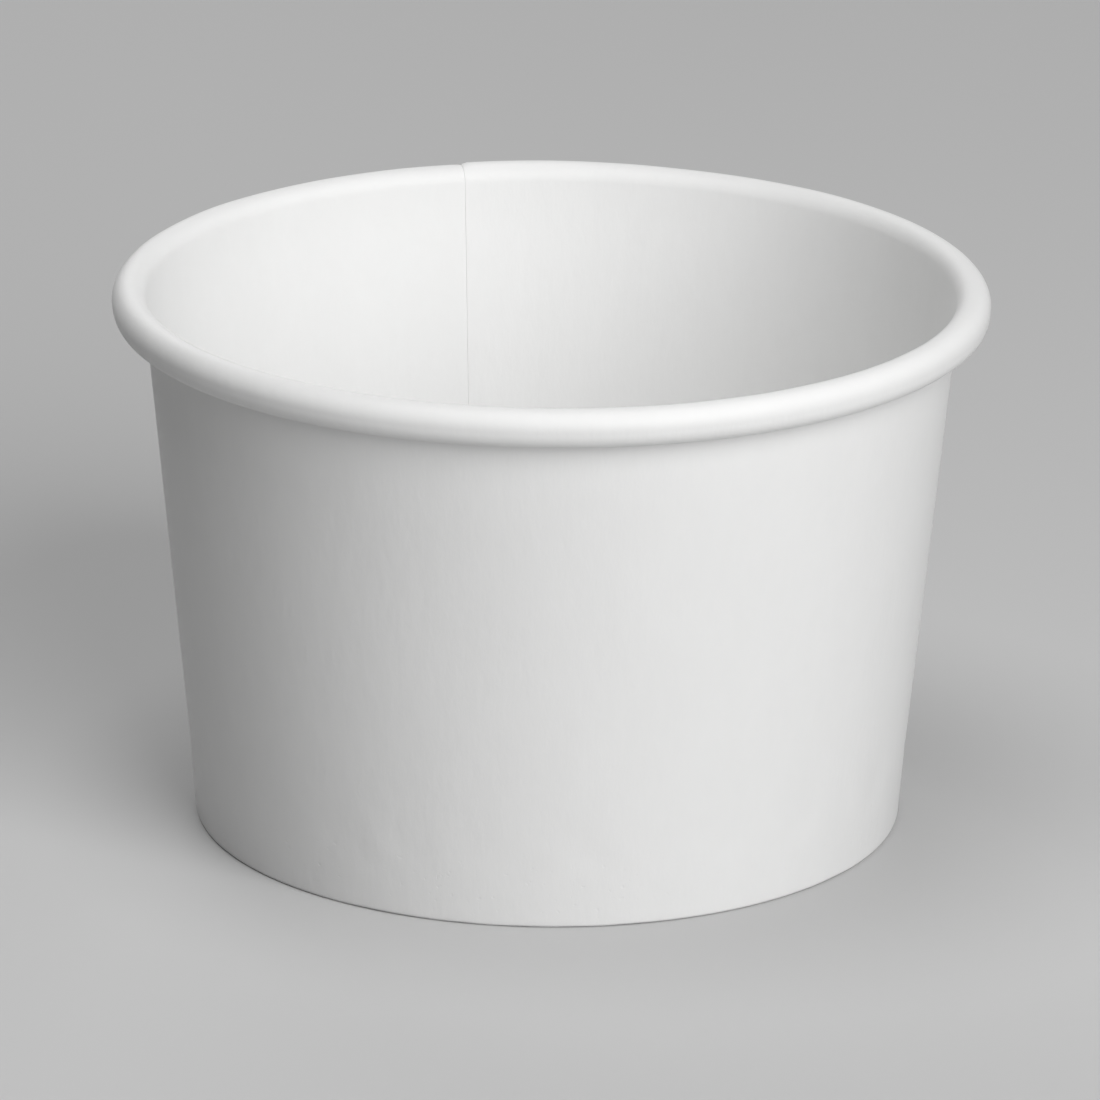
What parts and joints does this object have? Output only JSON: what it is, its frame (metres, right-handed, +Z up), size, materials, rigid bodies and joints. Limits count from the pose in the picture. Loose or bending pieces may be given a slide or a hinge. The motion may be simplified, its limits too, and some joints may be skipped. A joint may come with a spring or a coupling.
{
  "type": "paper sundae cup",
  "caption": "Tapered white paperboard dessert cup with a rolled rim, an upright lapped side seam and a recessed base held in its folded foot.",
  "frame": {"origin": "centre of the cup on the plane that its foot stands on", "axes": "+Z up along the cup's axis, out of its mouth; +Y towards the middle of the lapped side seam"},
  "size_m": [0.095, 0.0952, 0.0602],
  "materials": {
    "wall_board": "matte coated white paperboard, smooth, with a very fine fibre tooth",
    "base_board": "coated white paperboard, slightly glossier on the side that meets the food"
  },
  "bodies": {
    "root": {"side_wall": "wall_board", "base_disc": "base_board"}
  },
  "joints": []
}
